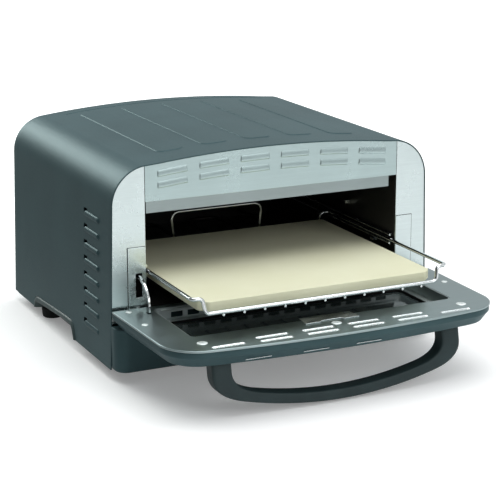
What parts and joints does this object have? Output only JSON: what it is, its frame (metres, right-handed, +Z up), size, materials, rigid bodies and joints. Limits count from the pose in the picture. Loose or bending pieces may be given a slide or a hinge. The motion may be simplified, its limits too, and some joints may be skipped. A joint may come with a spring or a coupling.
{
  "type": "countertop pizza oven",
  "caption": "Countertop pizza oven with an arched metal casing, a drop-down windowed door with a bow handle, and a sliding wire rack that holds a baking stone.",
  "frame": {"origin": "centre of the bounding box's bottom, on the table, with the door open", "axes": "+Z up, -Y out of the front, +X to the oven's right as seen from the front"},
  "size_m": [0.47, 0.621, 0.29],
  "materials": {
    "painted_casing": "satin dark grey-green powder coat",
    "brushed_steel": "brushed stainless steel",
    "door_steel": "dull brushed steel sheet",
    "knob_metal": "brushed metal dial",
    "chrome_wire": "bright plated steel",
    "cavity_enamel": "dark oven lining",
    "element_sheath": "heat-darkened tube",
    "handle_plastic": "satin dark grey-green moulding",
    "moulded_plastic": "dark moulding",
    "rubber": "black rubber",
    "baking_stone": "matt cream fired stone",
    "door_glass": "clear tempered glass",
    "insulation": "pressed fibre blanket",
    "lens": "clear amber plastic"
  },
  "bodies": {
    "oven_body": {"outer_casing": "painted_casing", "rear_cover": "painted_casing", "cord_gland": "rubber", "bezel_post_left": "brushed_steel", "bezel_post_right": "brushed_steel", "hinge_plate_left": "brushed_steel", "hinge_plate_right": "brushed_steel", "louvre_panel": "brushed_steel", "opening_flange": "brushed_steel", "front_sill": "cavity_enamel", "base_front": "painted_casing", "indicator_lens": "lens", "thermostat_body": "moulded_plastic", "timer_body": "moulded_plastic", "cavity_floor": "cavity_enamel", "cavity_roof": "cavity_enamel", "cavity_side_left": "cavity_enamel", "cavity_side_right": "cavity_enamel", "cavity_back": "cavity_enamel", "insulation_blanket": "insulation", "upper_element": "element_sheath", "lower_element": "element_sheath", "thermostat_bulb": "chrome_wire", "base_pan": "painted_casing", "terminal_block": "moulded_plastic", "foot_front_left": "rubber", "foot_front_right": "rubber", "foot_rear_left": "rubber", "foot_rear_right": "rubber", "side_grip_left": "moulded_plastic", "side_grip_right": "moulded_plastic", "rack_guide_left": "chrome_wire", "rack_guide_right": "chrome_wire", "hinge_ear_left": "brushed_steel", "hinge_ear_right": "brushed_steel", "hinge_pin_left": "brushed_steel", "hinge_pin_right": "brushed_steel", "hinge_spring_left": "chrome_wire", "hinge_spring_right": "chrome_wire"},
    "door": {"door_frame": "door_steel", "window_frame": "door_steel", "door_glass": "door_glass", "door_shell": "painted_casing", "glass_clip": "chrome_wire", "door_handle": "handle_plastic", "hinge_arm": "chrome_wire", "hinge_lug": "chrome_wire", "door_screw_1": "chrome_wire", "door_screw_2": "chrome_wire", "door_screw_3": "chrome_wire", "door_screw_4": "chrome_wire", "door_screw_5": "chrome_wire", "door_screw_6": "chrome_wire", "door_screw_7": "chrome_wire"},
    "rack_carriage": {"rack": "chrome_wire"},
    "baking_stone": {"stone": "baking_stone"},
    "temperature_dial": {"temperature_knob": "knob_metal"},
    "timer_dial": {"timer_knob": "knob_metal"}
  },
  "joints": [
    {"name": "door_hinge", "type": "hinge", "parent": "oven_body", "child": "door", "pos_m": [0, -0.1095, 0.087], "axis": [-1, 0, 0], "range_deg": [0, 90]},
    {"name": "rack_slide", "type": "slide", "parent": "oven_body", "child": "rack_carriage", "axis": [0, 1, 0], "range_m": [0, 0.1926]},
    {"name": "stone_lift", "type": "slide", "parent": "rack_carriage", "child": "baking_stone", "axis": [0, 0, 1], "range_m": [0, 0.04]},
    {"name": "temperature_knob_turn", "type": "hinge", "parent": "oven_body", "child": "temperature_dial", "pos_m": [-0.085, -0.1244, 0.043], "axis": [0, 1, 0], "range_deg": [0, 270]},
    {"name": "timer_knob_turn", "type": "hinge", "parent": "oven_body", "child": "timer_dial", "pos_m": [0.085, -0.1244, 0.043], "axis": [0, 1, 0], "range_deg": [0, 300]}
  ],
  "couplings": [
    {"joint": "rack_slide", "follows": "door_hinge", "m_per_rad": 0.12255}
  ]
}
